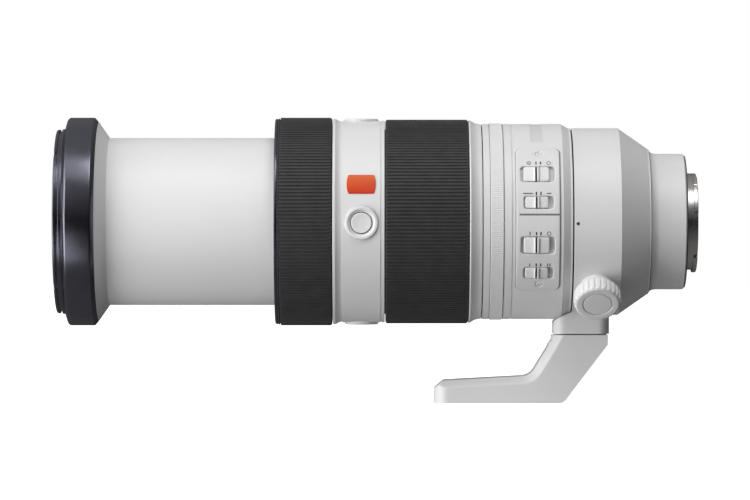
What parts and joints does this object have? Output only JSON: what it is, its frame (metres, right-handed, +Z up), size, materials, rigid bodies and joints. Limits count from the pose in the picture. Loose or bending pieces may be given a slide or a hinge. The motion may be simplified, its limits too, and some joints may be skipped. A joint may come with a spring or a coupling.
{
  "type": "telephoto zoom lens",
  "caption": "White telephoto zoom lens drawn out to full length, with ribbed focus and zoom rings, a switch panel, a turning tripod collar with a cranked foot, and a bayonet mount.",
  "frame": {"origin": "centre of the camera mount's flange plane, on the lens axis", "axes": "+X along the lens axis towards the camera, so the front looks along -X; +Z up; the switches face -Y; the tripod foot hangs towards -Z"},
  "size_m": [0.2883, 0.094, 0.1288],
  "materials": {
    "white_paint": "satin warm-white paint on magnesium alloy",
    "white_trim": "satin white moulding",
    "switch_panel_paint": "satin white moulding",
    "grey_plate": "satin grey",
    "badge_enamel": "gloss orange-red enamel",
    "dark_anodised": "satin blue-black anodised",
    "inner_aluminium": "matt black anodised",
    "grip_rubber": "ribbed matt rubber",
    "black_rubber": "soft matt rubber",
    "black_felt": "black felt",
    "black_plastic": "matt black moulding",
    "blade_black": "graphite-coated",
    "mount_steel": "polished and hard plated",
    "small_screws": "satin",
    "rod_steel": "ground",
    "gold_contacts": "gold plated",
    "circuit_board": "green solder mask",
    "coated_glass": "coated optical glass"
  },
  "bodies": {
    "fixed_barrel": {"guide_tube": "inner_aluminium", "dust_seal": "black_felt", "button_band": "white_paint", "button_bezels": "white_trim", "badge": "badge_enamel", "main_barrel": "white_paint", "name_plate": "grey_plate", "switch_panel": "switch_panel_paint", "panel_screws": "white_trim", "rear_frame": "inner_aluminium", "rear_barrel": "white_paint", "mount_gasket": "black_rubber", "lens_mount": "mount_steel", "mount_screws": "small_screws", "contact_block": "black_plastic", "contact_pins": "gold_contacts", "rear_baffle": "black_plastic", "mount_index_dot": "white_trim", "inner_chassis": "black_plastic", "middle_lens_group": "coated_glass", "rear_lens_group": "coated_glass", "aperture_housing": "black_plastic", "aperture_blades": "blade_black", "guide_rods": "rod_steel", "stabiliser_base": "black_plastic", "main_board": "circuit_board"},
    "zoom_barrel": {"extending_tube": "white_paint", "front_bumper_ring": "dark_anodised", "filter_ring": "dark_anodised", "front_lens_cell": "black_plastic", "front_element": "coated_glass", "front_group_glass": "coated_glass", "retaining_ring": "black_plastic", "cam_followers": "rod_steel"},
    "zoom_ring": {"zoom_ring_sleeve": "white_paint", "zoom_grip": "grip_rubber", "cam_tube": "inner_aluminium"},
    "focus_ring": {"focus_ring_sleeve": "dark_anodised", "focus_grip": "grip_rubber"},
    "torque_ring": {"torque_ring": "white_paint"},
    "tripod_collar": {"tripod_collar": "white_paint"},
    "tripod_foot": {"tripod_foot": "white_paint", "tripod_socket": "rod_steel"},
    "foot_lock_lever": {"foot_lock_lever": "white_trim"},
    "lock_knob": {"lock_knob": "white_trim", "lock_knob_cap": "white_trim", "clamp_screw": "rod_steel"},
    "focus_mode_switch": {"focus_mode_switch": "white_trim"},
    "focus_range_switch": {"focus_range_switch": "white_trim"},
    "stabiliser_switch": {"stabiliser_switch": "white_trim"},
    "stabiliser_mode_switch": {"stabiliser_mode_switch": "white_trim"},
    "hold_button_side": {"hold_button_side": "white_trim"},
    "hold_button_top": {"hold_button_top": "white_trim"},
    "hold_button_bottom": {"hold_button_bottom": "white_trim"},
    "focus_carriage": {"focus_carriage": "black_plastic", "focus_lens": "coated_glass"},
    "stabiliser_pitch_frame": {"stabiliser_pitch_frame": "black_plastic"},
    "stabiliser_lens_frame": {"stabiliser_lens_frame": "black_plastic", "stabiliser_lens": "coated_glass"}
  },
  "joints": [
    {"name": "zoom_turn", "type": "hinge", "parent": "fixed_barrel", "child": "zoom_ring", "pos_m": [-0.1088, 0, 0], "axis": [1, 0, 0], "range_deg": [0, 90]},
    {"name": "zoom_slide", "type": "slide", "parent": "fixed_barrel", "child": "zoom_barrel", "axis": [1, 0, 0], "range_m": [0, 0.0791]},
    {"name": "focus_turn", "type": "hinge", "parent": "fixed_barrel", "child": "focus_ring", "pos_m": [-0.1718, 0, 0], "axis": [1, 0, 0], "continuous": true},
    {"name": "torque_turn", "type": "hinge", "parent": "fixed_barrel", "child": "torque_ring", "pos_m": [-0.0858, 0, 0], "axis": [1, 0, 0], "range_deg": [0, 60]},
    {"name": "collar_turn", "type": "hinge", "parent": "fixed_barrel", "child": "tripod_collar", "pos_m": [-0.0388, 0, 0], "axis": [1, 0, 0], "continuous": true},
    {"name": "lock_knob_turn", "type": "hinge", "parent": "tripod_collar", "child": "lock_knob", "pos_m": [-0.0409, 0, 0], "axis": [0, -0.7071, -0.7071], "range_deg": [0, 270]},
    {"name": "foot_slide", "type": "slide", "parent": "tripod_collar", "child": "tripod_foot", "axis": [1, 0, 0], "range_m": [0, 0.018]},
    {"name": "foot_lever_turn", "type": "hinge", "parent": "tripod_collar", "child": "foot_lock_lever", "pos_m": [-0.0474, 0.0158, -0.0446], "axis": [0, 1, 0], "range_deg": [0, 80]},
    {"name": "focus_mode_switch_slide", "type": "slide", "parent": "fixed_barrel", "child": "focus_mode_switch", "axis": [1, 0, 0], "range_m": [0, 0.002]},
    {"name": "focus_range_switch_slide", "type": "slide", "parent": "fixed_barrel", "child": "focus_range_switch", "axis": [1, 0, 0], "range_m": [0, 0.002]},
    {"name": "stabiliser_switch_slide", "type": "slide", "parent": "fixed_barrel", "child": "stabiliser_switch", "axis": [1, 0, 0], "range_m": [0, 0.002]},
    {"name": "stabiliser_mode_switch_slide", "type": "slide", "parent": "fixed_barrel", "child": "stabiliser_mode_switch", "axis": [1, 0, 0], "range_m": [0, 0.002]},
    {"name": "hold_button_side_press", "type": "slide", "parent": "fixed_barrel", "child": "hold_button_side", "axis": [0, 0.9998, 0.0192], "range_m": [0, 0.0006], "stiffness_N_per_m": 800},
    {"name": "hold_button_top_press", "type": "slide", "parent": "fixed_barrel", "child": "hold_button_top", "axis": [0, 0.0192, -0.9998], "range_m": [0, 0.0006], "stiffness_N_per_m": 800},
    {"name": "hold_button_bottom_press", "type": "slide", "parent": "fixed_barrel", "child": "hold_button_bottom", "axis": [0, -0.0192, 0.9998], "range_m": [0, 0.0006], "stiffness_N_per_m": 800},
    {"name": "focus_slide", "type": "slide", "parent": "fixed_barrel", "child": "focus_carriage", "axis": [1, 0, 0], "range_m": [-0.007, 0.007]},
    {"name": "stabiliser_pitch_slide", "type": "slide", "parent": "fixed_barrel", "child": "stabiliser_pitch_frame", "axis": [0, 0, 1], "range_m": [-0.001, 0.001], "stiffness_N_per_m": 1500},
    {"name": "stabiliser_yaw_slide", "type": "slide", "parent": "stabiliser_pitch_frame", "child": "stabiliser_lens_frame", "axis": [0, 1, 0], "range_m": [-0.001, 0.001], "stiffness_N_per_m": 1500}
  ],
  "couplings": [
    {"joint": "zoom_slide", "follows": "zoom_turn", "m_per_rad": 0.050293}
  ]
}
